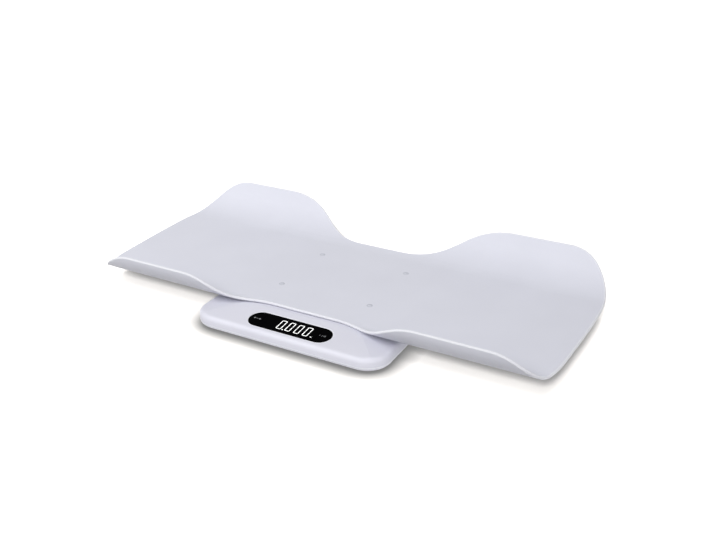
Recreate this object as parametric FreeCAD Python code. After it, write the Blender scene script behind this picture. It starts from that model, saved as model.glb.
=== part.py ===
import FreeCAD, Part
import math
import os
from FreeCAD import Placement, Rotation, Vector

# Digital baby weighing scale: a thin curved tray on a low platform that carries the display.
# Millimetres. +X to the right, +Y to the back, +Z up.
# Sizes along Y are counted from the middle of the tray's four pegs. The finished pieces are moved by
# ORIGIN_Y, so that their origin is on the table, under the middle of the whole scale.
ORIGIN_Y = -1.37

# ---------------------------------------------------------------- tray
TRAY_HALF_LENGTH = 277.0      # middle of the tray to its widest point
TRAY_THICKNESS = 3.0
TRAY_FLOOR_Z = 23.5           # top face of the flat floor
RIM_BEVEL = 1.0               # bevel of the tray's edge
CURL_START_Y = -89.0          # the floor starts to curl up towards the front lips
CURL_RADIUS = 24.0
CURL_ANGLE = 91.0             # sweep of the front lips
SWEEP_START_Y = 77.0          # the floor starts to sweep up towards the rear wings
SWEEP_RADIUS = 60.0
SWEEP_ANGLE = 51.5
WING_RUN = 17.0               # straight top of the wings, along the slope
TRIM_TILT_FRONT = 40.0        # tilt of the direction in which the front outline is cut
TRIM_TILT_REAR = 25.0

FRONT_SCOOP_Y = -90.8         # middle of the front edge, behind the display
FRONT_SCOOP_HALF = 38.0
LIP_START_X = 140.0           # the lips reach their full height here
LIP_END_X = 216.0             # and start to fall towards the ends here
FRONT_CORNER_Y = -60.0        # the front corners end here
FRONT_CORNER_X = 272.8
WIDEST_Y = 54.0
WING_OUTER_X = 219.5
WING_INNER_X = 154.0
REAR_SCOOP_Y = 93.0
REAR_SCOOP_HALF = 27.0

# ---------------------------------------------------------------- tray pegs and their sockets
PEG_X = 55.6
PEG_Y = 45.0
PEG_RADIUS = 4.2
PEG_LENGTH = 7.5
PEG_CHAMFER = 1.0
PEG_CLEARANCE = 0.3
SEAT_RING_WIDTH = 4.5         # raised ring round each socket, which carries the tray
SEAT_RING_HEIGHT = 0.6
SOCKET_WALL = 2.5
SOCKET_BOTTOM = 1.0
DIMPLE_RADIUS = 2.4           # shallow mark over each peg
DIMPLE_DEPTH = 0.45

# ---------------------------------------------------------------- platform housing
BASE_HALF_WIDTH = 114.2
BASE_DEPTH = 227.0            # front edge to rear edge
BASE_REAR_Y = 88.0
BASE_FRONT_Y = BASE_REAR_Y - BASE_DEPTH
BASE_CORNER = 26.5
HOUSING_WALL = 2.2
HOUSING_BOTTOM_Z = 2.5        # underside of the lower housing
PARTING_Z = 6.0               # joint between the two housings
RIM_RADIUS = 5.5              # rounded top edge of the platform
PANEL_SLOPE = 4.8             # fall of the display panel towards the front
PANEL_PIVOT_Y = -95.0         # line where the level top turns into the sloping panel
SIDE_START_X = 70.0           # the top starts to fall towards the sides here
SIDE_FALL = 5.5               # and meets the panel in a slanting crease
LOWER_INSET = 0.6             # shadow line under the upper housing
LOWER_EDGE_BEVEL = 1.6
TONGUE_CLEARANCE = 0.2
TONGUE_WALL = 1.6
TONGUE_HEIGHT = 2.5
RIB_THICKNESS = 1.4
RIB_DEPTH = 4.0

# ---------------------------------------------------------------- display, keys and board
LENS_LENGTH = 98.8
LENS_HEIGHT = 26.6
LENS_THICKNESS = 1.8
LENS_SET_BACK = 23.3          # pivot line to the middle of the lens, down the panel
LENS_SUNK = 0.2               # lens face below the panel face
LENS_CLEARANCE = 0.2
LENS_EDGE_BEVEL = 0.3
POCKET_FLOOR = 1.2
POCKET_WALL = 2.0
POCKET_CHAMFER = 0.9
KEY_SPLIT_X = 34.0            # the end keys start here
KEY_X = 41.5                  # middle of a key's stem
KEY_TRAVEL = 0.5
KEY_STEM = 6.0
KEY_STEM_LENGTH = 3.0
KEY_HOLE_CLEARANCE = 0.5
KEY_COLLAR = 8.6
KEY_COLLAR_THICKNESS = 0.8
KEY_REST_GAP = 0.1            # free play that keeps the moving faces apart
SWITCH_BODY = 4.6
SWITCH_BODY_HEIGHT = 0.95
SWITCH_PLUNGER_RADIUS = 1.1
SWITCH_PLUNGER_HEIGHT = 0.3
MODULE_LENGTH = 52.0
MODULE_WIDTH = 17.0
MODULE_WINDOW_CLEARANCE = 1.0
MODULE_LENS_GAP = 0.15
BOARD_LENGTH = 100.0
BOARD_WIDTH = 24.0
BOARD_THICKNESS = 1.2
BOARD_SCREW_X = 46.0
BOARD_SCREW_V = 9.5           # screws above and below the middle of the lens
BOARD_BOSS_RADIUS = 2.6
BOARD_SCREW_RADIUS = 0.95
BOARD_SCREW_LENGTH = 3.2
BOARD_HEAD_RADIUS = 2.2
BOARD_HEAD_HEIGHT = 1.3
CHIP_HEIGHT = 1.2
CHIPS = ((-12.0, 10.0, 10.0), (14.0, 8.0, 5.0), (30.0, 5.0, 3.0))   # place, length, width

# ---------------------------------------------------------------- load cells and feet
FOOT_INSET_X = 28.2           # platform's edges to the middles of the feet
FOOT_INSET_FRONT = 37.0
FOOT_INSET_REAR = 30.0
WELL_RADIUS = 18.75
WELL_WALL = 2.0
WELL_CEILING_Z = 8.4
WIRE_HOLE_RADIUS = 7.0
CELL_SIZE = 25.6
CELL_THICKNESS = 1.5
CELL_SLOT = 1.5
CELL_TONGUE_WIDTH = 9.0
CELL_TONGUE_LENGTH = 16.0
CELL_PIN_RADIUS = 2.0
CELL_PIN_CLEARANCE = 0.05
CARRIER_RADIUS = 18.0
CARRIER_BOTTOM_Z = 1.0
CARRIER_TOP_Z = 5.4
CARRIER_BOSS_RADIUS = 4.0
PAD_RADIUS = 16.0
PAD_THICKNESS = 2.4
PAD_CLEARANCE = 0.1
PAD_BEVEL = 0.6
PAD_GROOVE_RADIUS = 9.0
PAD_GROOVE_WIDTH = 1.5
PAD_GROOVE_DEPTH = 0.6

# ---------------------------------------------------------------- batteries, contacts and door
CELL_COUNT = 3
BATTERY_RADIUS = 5.25
BATTERY_LENGTH = 44.5
BATTERY_NUB_RADIUS = 2.75
BATTERY_NUB_LENGTH = 1.2
BATTERY_PITCH = 11.5
BATTERY_AXIS_Z = 10.3
BATTERY_MIDDLE_Y = 64.4
BAY_HALF_LENGTH = 26.0
BAY_HALF_WIDTH = 18.0
BAY_CEILING_Z = 15.8
BAY_WALL = 1.2
BAY_GAP = 0.4                 # bay to the ribs of the upper housing
CONTACT_PLATE = 0.5
CONTACT_BUMP = 0.5
CONTACT_SIZE = 8.0
SPRING_LENGTH = 6.0
SPRING_WIRE = 0.62
SPRING_TURNS = 5
SPRING_RADIUS_WIDE = 3.4
SPRING_RADIUS_NARROW = 2.2
DOOR_HALF_WIDTH = 31.0
DOOR_FRONT_Y = 42.0
DOOR_SKIN = 1.1
DOOR_FLANGE = 2.0             # how far the flanges run under the ledges
DOOR_FLANGE_THICKNESS = 1.0
DOOR_CLEARANCE = 0.2
DOOR_GRIP_GROOVES = 4
DOOR_GRIP_PITCH = 3.0
DOOR_GRIP_LENGTH = 22.0
DOOR_GRIP_DEPTH = 0.5

# ---------------------------------------------------------------- housing screws
SCREW_PLACES = ((96.0, -22.0), (52.0, 78.0), (50.0, -90.0))
SCREW_RADIUS = 1.5
SCREW_TOP_Z = 12.6
SCREW_HEAD_RADIUS = 3.0
SCREW_HEAD_HEIGHT = 2.0
SCREW_HEAD_Z = 3.3
SCREW_CLEARANCE = 0.3
SCREW_BORE_CLEARANCE = 0.05
SCREW_BOSS_WALL = 2.4
SCREW_BOSS_Z = 8.0            # the two bosses meet here

BIG = 400.0                   # larger than anything that is cut
OVERCUT = 1.0                 # how far a cutting body runs past the face that it opens
FINE = 0.01                   # closer than this counts as touching
TRAY_UNDERSIDE_Z = TRAY_FLOOR_Z - TRAY_THICKNESS
PLATEAU_Z = TRAY_UNDERSIDE_Z - SEAT_RING_HEIGHT
LOWER_FLOOR_Z = HOUSING_BOTTOM_Z + HOUSING_WALL


# ================================================================ helpers
def sin(angle):
    return math.sin(math.radians(angle))


def cos(angle):
    return math.cos(math.radians(angle))


def tan(angle):
    return math.tan(math.radians(angle))


def box(x0, x1, y0, y1, z0, z1):
    return Part.makeBox(x1 - x0, y1 - y0, z1 - z0, Vector(x0, y0, z0))


def cylinder(x, y, z0, z1, radius):
    return Part.makeCylinder(radius, z1 - z0, Vector(x, y, z0))


def cylinder_along_x(x0, x1, y, z, radius):
    return Part.makeCylinder(radius, x1 - x0, Vector(x0, y, z), Vector(1, 0, 0))


def joined(shapes):
    return shapes[0].multiFuse(shapes[1:]).removeSplitter()


def mirrored(shape):
    return shape.mirror(Vector(0, 0, 0), Vector(1, 0, 0))


def rounded_plate(inset, z0, z1):
    """Plate with the platform's outline, drawn in by inset."""
    radius = BASE_CORNER - inset
    plate = box(-BASE_HALF_WIDTH + inset, BASE_HALF_WIDTH - inset,
                BASE_FRONT_Y + inset, BASE_REAR_Y - inset, z0, z1)
    uprights = [e for e in plate.Edges if abs(e.tangentAt(e.FirstParameter).z) > 0.9]
    return plate.makeFillet(radius, uprights)


def stadium(length, height, w0, w1):
    """Prism with round ends on the display panel, centred on the lens."""
    radius = height / 2
    half = length / 2 - radius
    low = Vector(0, -LENS_SET_BACK - radius, w0)
    high = Vector(0, -LENS_SET_BACK + radius, w0)
    step = Vector(half, 0, 0)
    right_tip = Vector(length / 2, -LENS_SET_BACK, w0)
    left_tip = Vector(-length / 2, -LENS_SET_BACK, w0)
    outline = Part.Wire([
        Part.makeLine(low - step, low + step),
        Part.Arc(low + step, right_tip, high + step).toShape(),
        Part.makeLine(high + step, high - step),
        Part.Arc(high - step, left_tip, low - step).toShape()])
    return Part.Face(outline).extrude(Vector(0, 0, w1 - w0))


def panel_box(x, half_x, half_v, w0, w1):
    """Box on the display panel, centred on x and on the middle of the lens."""
    return box(x - half_x, x + half_x, -LENS_SET_BACK - half_v, -LENS_SET_BACK + half_v, w0, w1)


def on_panel(shape):
    """Moves a shape from the panel's own axes (x, v up the slope, w out of it) to the scale's."""
    placed = shape.copy()
    turn = Rotation(Vector(1, 0, 0), PANEL_SLOPE)
    placed.Placement = Placement(Vector(0, PANEL_PIVOT_Y, PLATEAU_Z), turn).multiply(placed.Placement)
    return placed


def panel_height(y):
    return PLATEAU_Z + (y - PANEL_PIVOT_Y) * tan(PANEL_SLOPE)


def side_height(x):
    return PLATEAU_Z - max(0.0, abs(x) - SIDE_START_X) * tan(SIDE_FALL)


def below_plane(point, normal):
    """Everything on the back of a plane, as a large block."""
    block = Part.makeBox(2 * BIG, 2 * BIG, BIG, Vector(-BIG, -BIG, -BIG))
    block.Placement = Placement(point, Rotation(Vector(0, 0, 1), normal))
    return block


def shared_edges(solid, first, second):
    """Edges between a face that first accepts and a face that second accepts."""
    found = []
    for edge in solid.Edges:
        faces = solid.ancestorsOfType(edge, Part.Face)
        if len(faces) == 2:
            one, two = faces
            if (first(one) and second(two)) or (first(two) and second(one)):
                found.append(edge)
    return found


def face_normal(face):
    u0, u1, v0, v1 = face.ParameterRange
    return face.normalAt((u0 + u1) / 2, (v0 + v1) / 2)


def export(name, shape):
    shape.translated(Vector(0, -ORIGIN_Y, 0)).exportStep("parts/" + name + ".step")
    print(name, len(shape.Solids), "solids,", round(shape.Volume / 1000, 2), "cm3, valid", shape.isValid())


# ================================================================ tray
class TrimFrame:
    """Plane in which part of the tray's outline is drawn: x across, q along the section."""

    def __init__(self, side, tilt, start_y):
        self.side = side
        self.tilt = tilt
        self.start_y = start_y
        self.along = Vector(0, side * cos(tilt), sin(tilt))
        self.out = Vector(0, -side * sin(tilt), cos(tilt))

    def point(self, x, q):
        return Vector(x, self.start_y, TRAY_FLOOR_Z) + self.along * q

    def on_floor(self, y):
        return self.side * (y - self.start_y) * cos(self.tilt)

    def on_arc(self, radius, angle):
        return radius * (sin(angle) * cos(self.tilt) + (1 - cos(angle)) * sin(self.tilt))

    def edge(self, poles):
        points = [self.point(x, q) for x, q in poles]
        if len(points) == 2:
            return Part.makeLine(points[0], points[1])
        curve = Part.BezierCurve()
        curve.setPoles(points)
        return curve.toShape()

    def prism(self, half_outline, split_q):
        """Block inside an outline given from the middle to the split on the right side."""
        left_half = [[(-x, q) for x, q in poles] for poles in half_outline]
        edges = [self.edge(poles) for poles in half_outline + left_half]
        split_x = half_outline[-1][-1][0]
        edges.append(self.edge([(split_x, split_q), (-split_x, split_q)]))
        outline = Part.Face(Part.Wire(Part.__sortEdges__(edges)))
        return outline.translated(self.out * -BIG / 4).extrude(self.out * BIG / 2)


def sheet_section():
    """Top line of the tray's section: front curl, floor, rear sweep and straight wing."""
    def on_curl(angle):
        rise = CURL_RADIUS * (1 - cos(angle))
        return Vector(0, CURL_START_Y - CURL_RADIUS * sin(angle), TRAY_FLOOR_Z + rise)

    def on_sweep(angle):
        rise = SWEEP_RADIUS * (1 - cos(angle))
        return Vector(0, SWEEP_START_Y + SWEEP_RADIUS * sin(angle), TRAY_FLOOR_Z + rise)

    spare = 6.0
    curl_end = CURL_ANGLE + spare
    wing_end = on_sweep(SWEEP_ANGLE) + Vector(0, cos(SWEEP_ANGLE), sin(SWEEP_ANGLE)) * (WING_RUN + spare)
    return Part.Wire([
        Part.Arc(on_curl(curl_end), on_curl(curl_end / 2), on_curl(0)).toShape(),
        Part.makeLine(on_curl(0), on_sweep(0)),
        Part.Arc(on_sweep(0), on_sweep(SWEEP_ANGLE / 2), on_sweep(SWEEP_ANGLE)).toShape(),
        Part.makeLine(on_sweep(SWEEP_ANGLE), wing_end)])


def front_outline(frame):
    """Scoop, S-bend to the lip, lip and front corner."""
    scoop_angle = math.degrees(math.asin((CURL_START_Y - FRONT_SCOOP_Y) / CURL_RADIUS))
    scoop_q = frame.on_arc(CURL_RADIUS, scoop_angle)
    lip_q = frame.on_arc(CURL_RADIUS, CURL_ANGLE)
    corner_q = frame.on_floor(FRONT_CORNER_Y)
    bend_x = (FRONT_SCOOP_HALF + LIP_START_X) / 2
    handle = 0.62
    return [
        [(0, scoop_q), (FRONT_SCOOP_HALF, scoop_q)],
        [(FRONT_SCOOP_HALF, scoop_q), (bend_x, scoop_q), (bend_x, lip_q), (LIP_START_X, lip_q)],
        [(LIP_START_X, lip_q), (LIP_END_X, lip_q)],
        [(LIP_END_X, lip_q), (LIP_END_X + handle * (FRONT_CORNER_X - LIP_END_X), lip_q),
         (FRONT_CORNER_X - END_LEAN * (lip_q - corner_q) * handle / cos(frame.tilt),
          corner_q + (lip_q - corner_q) * handle), (FRONT_CORNER_X, corner_q)]]


def rear_outline(frame):
    """Rear scoop, S-bend to the wing, wing and the round end."""
    scoop_angle = math.degrees(math.asin((REAR_SCOOP_Y - SWEEP_START_Y) / SWEEP_RADIUS))
    scoop_q = frame.on_arc(SWEEP_RADIUS, scoop_angle)
    wing_q = frame.on_arc(SWEEP_RADIUS, SWEEP_ANGLE) + WING_RUN * cos(SWEEP_ANGLE - frame.tilt)
    widest_q = frame.on_floor(WIDEST_Y)
    corner_q = frame.on_floor(FRONT_CORNER_Y)
    side_run = (WIDEST_Y - FRONT_CORNER_Y) / 3
    scoop_handle = 0.45
    wing_handle = 0.54
    round_handle = 0.61
    bend = WING_INNER_X - REAR_SCOOP_HALF
    return [
        [(0, scoop_q), (REAR_SCOOP_HALF, scoop_q)],
        [(REAR_SCOOP_HALF, scoop_q), (REAR_SCOOP_HALF + scoop_handle * bend, scoop_q),
         (WING_INNER_X - wing_handle * bend, wing_q), (WING_INNER_X, wing_q)],
        [(WING_INNER_X, wing_q), (WING_OUTER_X, wing_q)],
        [(WING_OUTER_X, wing_q), (WING_OUTER_X + round_handle * (TRAY_HALF_LENGTH - WING_OUTER_X), wing_q),
         (TRAY_HALF_LENGTH, widest_q + round_handle * (wing_q - widest_q)), (TRAY_HALF_LENGTH, widest_q)],
        [(TRAY_HALF_LENGTH, widest_q), (TRAY_HALF_LENGTH, frame.on_floor(WIDEST_Y - side_run)),
         (FRONT_CORNER_X + END_LEAN * side_run, frame.on_floor(FRONT_CORNER_Y + side_run)),
         (FRONT_CORNER_X, corner_q)]]


# Lean of the ends at the front corners, so that the two outlines meet without a kink.
END_LEAN = 1.5 * (TRAY_HALF_LENGTH - FRONT_CORNER_X) / (WIDEST_Y - FRONT_CORNER_Y)


def tray_sheet():
    """The sheet's top face, trimmed to the flowing outline, thickened and bevelled all round."""
    across = sheet_section().translated(Vector(-BIG, 0, 0)).extrude(Vector(2 * BIG, 0, 0))
    front = TrimFrame(-1, TRIM_TILT_FRONT, CURL_START_Y)
    rear = TrimFrame(1, TRIM_TILT_REAR, SWEEP_START_Y)
    front_part = across.common(front.prism(front_outline(front), front.on_floor(FRONT_CORNER_Y)))
    rear_part = across.common(rear.prism(rear_outline(rear), rear.on_floor(FRONT_CORNER_Y)))
    skin = Part.makeShell(front_part.Faces + rear_part.Faces)
    skin.sewShape()
    sheet = skin.removeSplitter().makeOffsetShape(-TRAY_THICKNESS, FINE, fill=True)
    sheet = Part.Solid(sheet.Shells[0])
    skin_area = 1000.0
    rim = shared_edges(sheet, lambda f: f.Area > skin_area, lambda f: f.Area < skin_area)
    return sheet.makeChamfer(RIM_BEVEL, rim)


def peg_places():
    return [(sx * PEG_X, sy * PEG_Y) for sx in (-1, 1) for sy in (-1, 1)]


def tray():
    body = tray_sheet()
    growth = (DIMPLE_DEPTH + OVERCUT) / DIMPLE_DEPTH
    for x, y in peg_places():
        root = TRAY_UNDERSIDE_Z + TRAY_THICKNESS / 3
        peg = cylinder(x, y, TRAY_UNDERSIDE_Z - PEG_LENGTH, root, PEG_RADIUS)
        tip = [e for e in peg.Edges if e.BoundBox.ZMax < TRAY_UNDERSIDE_Z - PEG_LENGTH / 2]
        body = body.fuse(peg.makeChamfer(PEG_CHAMFER, tip))
        lowest = Vector(x, y, TRAY_FLOOR_Z - DIMPLE_DEPTH)
        body = body.cut(Part.makeCone(0, DIMPLE_RADIUS * growth, DIMPLE_DEPTH * growth, lowest))
    return body


# ================================================================ upper housing
def capped_plate(inset, rim_radius, point, normal):
    """Plate with the platform's outline under one sloping plane, rounded where they meet."""
    block = rounded_plate(inset, 0, BIG / 4).common(below_plane(point - Vector(0, 0, inset), normal))
    rim = shared_edges(block, lambda f: abs(face_normal(f).z) < FINE, lambda f: face_normal(f).z > 0.5)
    return block.makeFillet(rim_radius, rim)


def platform_body(inset, rim_radius):
    """Platform under its level top, its sloping panel and its falling sides, all drawn in by inset."""
    pivot = Vector(0, PANEL_PIVOT_Y, PLATEAU_Z)
    side_start = Vector(SIDE_START_X, 0, PLATEAU_Z)
    level = capped_plate(inset, rim_radius, pivot, Vector(0, 0, 1))
    panel = capped_plate(inset, rim_radius, pivot, Vector(0, -sin(PANEL_SLOPE), cos(PANEL_SLOPE)))
    side = capped_plate(inset, rim_radius, side_start, Vector(sin(SIDE_FALL), 0, cos(SIDE_FALL)))
    right_half = box(0, BIG, -BIG, BIG, 0, BIG).common(level).common(panel).common(side)
    return joined([right_half, mirrored(right_half)])


def screw_places():
    return [(side * x, y) for side in (-1, 1) for x, y in SCREW_PLACES]


def board_screw_places():
    return [(sx * BOARD_SCREW_X, -LENS_SET_BACK + sv * BOARD_SCREW_V) for sx in (-1, 1) for sv in (-1, 1)]


# Heights in the panel's own axes, from the panel face inwards.
LENS_BACK_W = -LENS_SUNK - LENS_THICKNESS
WELL_FLOOR_W = LENS_BACK_W - KEY_TRAVEL - KEY_REST_GAP
POCKET_BACK_W = WELL_FLOOR_W - POCKET_FLOOR
STEM_END_W = LENS_BACK_W - KEY_STEM_LENGTH
PLUNGER_TOP_W = STEM_END_W - KEY_TRAVEL - KEY_REST_GAP / 2
SWITCH_TOP_W = PLUNGER_TOP_W - SWITCH_PLUNGER_HEIGHT
BOARD_TOP_W = SWITCH_TOP_W - SWITCH_BODY_HEIGHT
BOARD_BACK_W = BOARD_TOP_W - BOARD_THICKNESS


def display_pocket():
    """What is cut from the upper housing for the lens, the keys and the display module."""
    pocket = stadium(LENS_LENGTH + 2 * LENS_CLEARANCE, LENS_HEIGHT + 2 * LENS_CLEARANCE, LENS_BACK_W, OVERCUT)
    flare = stadium(LENS_LENGTH + 2 * POCKET_CHAMFER, LENS_HEIGHT + 2 * POCKET_CHAMFER, -LENS_SUNK, OVERCUT)
    window = panel_box(0, MODULE_LENGTH / 2 + MODULE_WINDOW_CLEARANCE,
                       MODULE_WIDTH / 2 + MODULE_WINDOW_CLEARANCE, POCKET_BACK_W - OVERCUT, 0)
    cuts = [pocket, flare, window]
    for side in (-1, 1):
        end = panel_box(side * (KEY_SPLIT_X + LENS_LENGTH / 2), LENS_LENGTH / 2, LENS_HEIGHT, WELL_FLOOR_W, 0)
        cuts.append(pocket.translated(Vector(0, 0, WELL_FLOOR_W - LENS_BACK_W)).common(end))
        half = KEY_STEM / 2 + KEY_HOLE_CLEARANCE
        cuts.append(panel_box(side * KEY_X, half, half, POCKET_BACK_W - OVERCUT, 0))
    return joined(cuts)


def battery_bay_block(margin):
    """Outside of the battery bay's walls and ceiling, grown by margin."""
    half_x = BAY_HALF_LENGTH + BAY_WALL + margin
    half_y = BAY_HALF_WIDTH + BAY_WALL + margin
    return box(-half_x, half_x, BATTERY_MIDDLE_Y - half_y, BATTERY_MIDDLE_Y + half_y,
               LOWER_FLOOR_Z, BAY_CEILING_Z + BAY_WALL + margin)


def upper_housing():
    """Shell with the display pocket, tray sockets, screw bosses and ribs."""
    inner = platform_body(HOUSING_WALL, RIM_RADIUS - HOUSING_WALL)
    shell = platform_body(0, RIM_RADIUS).cut(inner).cut(box(-BIG, BIG, -BIG, BIG, -OVERCUT, PARTING_Z))
    added = [on_panel(stadium(LENS_LENGTH + 2 * POCKET_WALL, LENS_HEIGHT + 2 * POCKET_WALL,
                              POCKET_BACK_W, -HOUSING_WALL / 2))]
    cuts = [on_panel(display_pocket())]
    for x, v in board_screw_places():
        added.append(on_panel(cylinder(x, v, BOARD_TOP_W, -HOUSING_WALL / 2, BOARD_BOSS_RADIUS)))
        bore_top = BOARD_BACK_W + BOARD_SCREW_LENGTH + SCREW_BORE_CLEARANCE
        bore = cylinder(x, v, BOARD_BACK_W, bore_top, BOARD_SCREW_RADIUS + SCREW_BORE_CLEARANCE)
        cuts.append(on_panel(bore))
    socket_radius = PEG_RADIUS + PEG_CLEARANCE
    socket_floor_z = TRAY_UNDERSIDE_Z - PEG_LENGTH - PEG_CLEARANCE
    ceiling_z = PLATEAU_Z - HOUSING_WALL / 2
    for x, y in peg_places():
        added.append(cylinder(x, y, socket_floor_z - SOCKET_BOTTOM, ceiling_z, socket_radius + SOCKET_WALL))
        added.append(cylinder(x, y, ceiling_z, TRAY_UNDERSIDE_Z, socket_radius + SEAT_RING_WIDTH))
        cuts.append(cylinder(x, y, socket_floor_z, TRAY_FLOOR_Z, socket_radius))
    rib_z = PLATEAU_Z - HOUSING_WALL - RIB_DEPTH
    half_rib = RIB_THICKNESS / 2
    for side in (-1, 1):
        across = box(-PEG_X, PEG_X, side * PEG_Y - half_rib, side * PEG_Y + half_rib, rib_z, ceiling_z)
        added.append(across.cut(battery_bay_block(BAY_GAP)))
        added.append(box(side * PEG_X - half_rib, side * PEG_X + half_rib, -PEG_Y, PEG_Y, rib_z, ceiling_z))
    for x, y in screw_places():
        top_z = min(side_height(x), panel_height(y)) - HOUSING_WALL / 2
        added.append(cylinder(x, y, SCREW_BOSS_Z, top_z, SCREW_RADIUS + SCREW_BOSS_WALL))
        bore_top = SCREW_TOP_Z + SCREW_BORE_CLEARANCE
        cuts.append(cylinder(x, y, PARTING_Z, bore_top, SCREW_RADIUS + SCREW_BORE_CLEARANCE))
    return joined([shell] + added).cut(Part.makeCompound(cuts))


# ================================================================ lower housing
def foot_places():
    x = BASE_HALF_WIDTH - FOOT_INSET_X
    front = BASE_FRONT_Y + FOOT_INSET_FRONT
    rear = BASE_REAR_Y - FOOT_INSET_REAR
    return {"front_left": (-x, front), "front_right": (x, front),
            "rear_left": (-x, rear), "rear_right": (x, rear)}


DOOR_REAR_Y = BASE_REAR_Y - LOWER_INSET
FLANGE_BOTTOM_Z = HOUSING_BOTTOM_Z + DOOR_SKIN
FLANGE_TOP_Z = FLANGE_BOTTOM_Z + DOOR_FLANGE_THICKNESS


def door_slot():
    """Space in which the battery door slides, open to the back."""
    skin_half = DOOR_HALF_WIDTH + DOOR_CLEARANCE
    flange_half = skin_half + DOOR_FLANGE
    front = DOOR_FRONT_Y - DOOR_CLEARANCE
    ledge_top = FLANGE_BOTTOM_Z - DOOR_CLEARANCE
    low = box(-skin_half, skin_half, front, BASE_REAR_Y, HOUSING_BOTTOM_Z - OVERCUT, ledge_top)
    high = box(-flange_half, flange_half, front, BASE_REAR_Y, ledge_top, FLANGE_TOP_Z + DOOR_CLEARANCE)
    return low.fuse(high)


def lower_housing():
    """Bottom pan with the wells of the feet, the battery bay and the screw bosses."""
    pan = rounded_plate(LOWER_INSET, HOUSING_BOTTOM_Z, PARTING_Z)
    under = [e for e in pan.Edges if e.BoundBox.ZMax < HOUSING_BOTTOM_Z + FINE]
    pan = pan.makeChamfer(LOWER_EDGE_BEVEL, under)
    tongue_inset = HOUSING_WALL + TONGUE_CLEARANCE
    tongue_top = PARTING_Z + TONGUE_HEIGHT
    pan = pan.fuse(rounded_plate(tongue_inset, LOWER_FLOOR_Z, tongue_top))
    pan = pan.cut(rounded_plate(tongue_inset + TONGUE_WALL, LOWER_FLOOR_Z, tongue_top + OVERCUT))
    added = []
    cuts = [door_slot()]
    for x, y in foot_places().values():
        added.append(cylinder(x, y, HOUSING_BOTTOM_Z, WELL_CEILING_Z + WELL_WALL, WELL_RADIUS + WELL_WALL))
        cuts.append(cylinder(x, y, HOUSING_BOTTOM_Z - OVERCUT, WELL_CEILING_Z, WELL_RADIUS))
        cuts.append(cylinder(x, y, WELL_CEILING_Z, WELL_CEILING_Z + 2 * WELL_WALL, WIRE_HOLE_RADIUS))
    added.append(battery_bay_block(0))
    cuts.append(box(-BAY_HALF_LENGTH, BAY_HALF_LENGTH, BATTERY_MIDDLE_Y - BAY_HALF_WIDTH,
                    BATTERY_MIDDLE_Y + BAY_HALF_WIDTH, 0, BAY_CEILING_Z))
    rail_half = DOOR_HALF_WIDTH + DOOR_FLANGE + 2 * BAY_WALL
    added.append(box(-rail_half, rail_half, DOOR_FRONT_Y - 2 * BAY_WALL, DOOR_REAR_Y - LOWER_EDGE_BEVEL,
                     HOUSING_BOTTOM_Z, FLANGE_TOP_Z + DOOR_CLEARANCE + BAY_WALL))
    half_rib = RIB_THICKNESS / 2
    for x, y in screw_places():
        added.append(cylinder(x, y, HOUSING_BOTTOM_Z, SCREW_BOSS_Z, SCREW_HEAD_RADIUS + SCREW_BOSS_WALL / 2))
        cuts.append(cylinder(x, y, 0, SCREW_HEAD_Z + SCREW_HEAD_HEIGHT, SCREW_HEAD_RADIUS + SCREW_CLEARANCE))
        cuts.append(cylinder(x, y, 0, BIG, SCREW_RADIUS + SCREW_CLEARANCE))
    inner_half = BASE_HALF_WIDTH - tongue_inset
    for y in (-PEG_Y, 0.0, DOOR_FRONT_Y / 2):
        added.append(box(-inner_half, inner_half, y - half_rib, y + half_rib, LOWER_FLOOR_Z, SCREW_BOSS_Z))
    return joined([pan] + added).cut(Part.makeCompound(cuts))


# ================================================================ display, keys and board
def softened(solid, width):
    """Bevels the edges of the face that the user sees."""
    edges = [e for e in solid.Edges if e.BoundBox.ZMin > -LENS_SUNK - FINE]
    return solid.makeChamfer(width, edges)


def display_lens():
    plate = stadium(LENS_LENGTH, LENS_HEIGHT, LENS_BACK_W, -LENS_SUNK)
    middle = plate.common(panel_box(0, KEY_SPLIT_X - LENS_CLEARANCE / 2, LENS_HEIGHT, -BIG, BIG))
    return on_panel(softened(middle, LENS_EDGE_BEVEL))


def panel_key(side):
    """End key: cap with the lens's round end, stem through the housing and a snap collar."""
    plate = stadium(LENS_LENGTH, LENS_HEIGHT, LENS_BACK_W, -LENS_SUNK)
    start = KEY_SPLIT_X + LENS_CLEARANCE / 2
    cap = plate.common(panel_box(side * (start + LENS_LENGTH / 2), LENS_LENGTH / 2, LENS_HEIGHT, -BIG, BIG))
    cap = softened(cap, LENS_EDGE_BEVEL)
    stem = panel_box(side * KEY_X, KEY_STEM / 2, KEY_STEM / 2, STEM_END_W, LENS_BACK_W)
    collar_top = POCKET_BACK_W - KEY_REST_GAP
    collar = panel_box(side * KEY_X, KEY_COLLAR / 2, KEY_STEM / 2,
                       collar_top - KEY_COLLAR_THICKNESS, collar_top)
    return on_panel(joined([cap, stem, collar]))


def display_module():
    top_w = LENS_BACK_W - MODULE_LENS_GAP
    return on_panel(panel_box(0, MODULE_LENGTH / 2, MODULE_WIDTH / 2, BOARD_TOP_W, top_w))


def main_board():
    board = panel_box(0, BOARD_LENGTH / 2, BOARD_WIDTH / 2, BOARD_BACK_W, BOARD_TOP_W)
    hole_radius = BOARD_SCREW_RADIUS + SCREW_BORE_CLEARANCE
    for x, v in board_screw_places():
        board = board.cut(cylinder(x, v, BOARD_BACK_W - OVERCUT, BOARD_TOP_W + OVERCUT, hole_radius))
    return on_panel(board)


def board_chips():
    low = BOARD_BACK_W - CHIP_HEIGHT
    chips = [panel_box(x, length / 2, width / 2, low, BOARD_BACK_W) for x, length, width in CHIPS]
    return on_panel(Part.makeCompound(chips))


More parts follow.
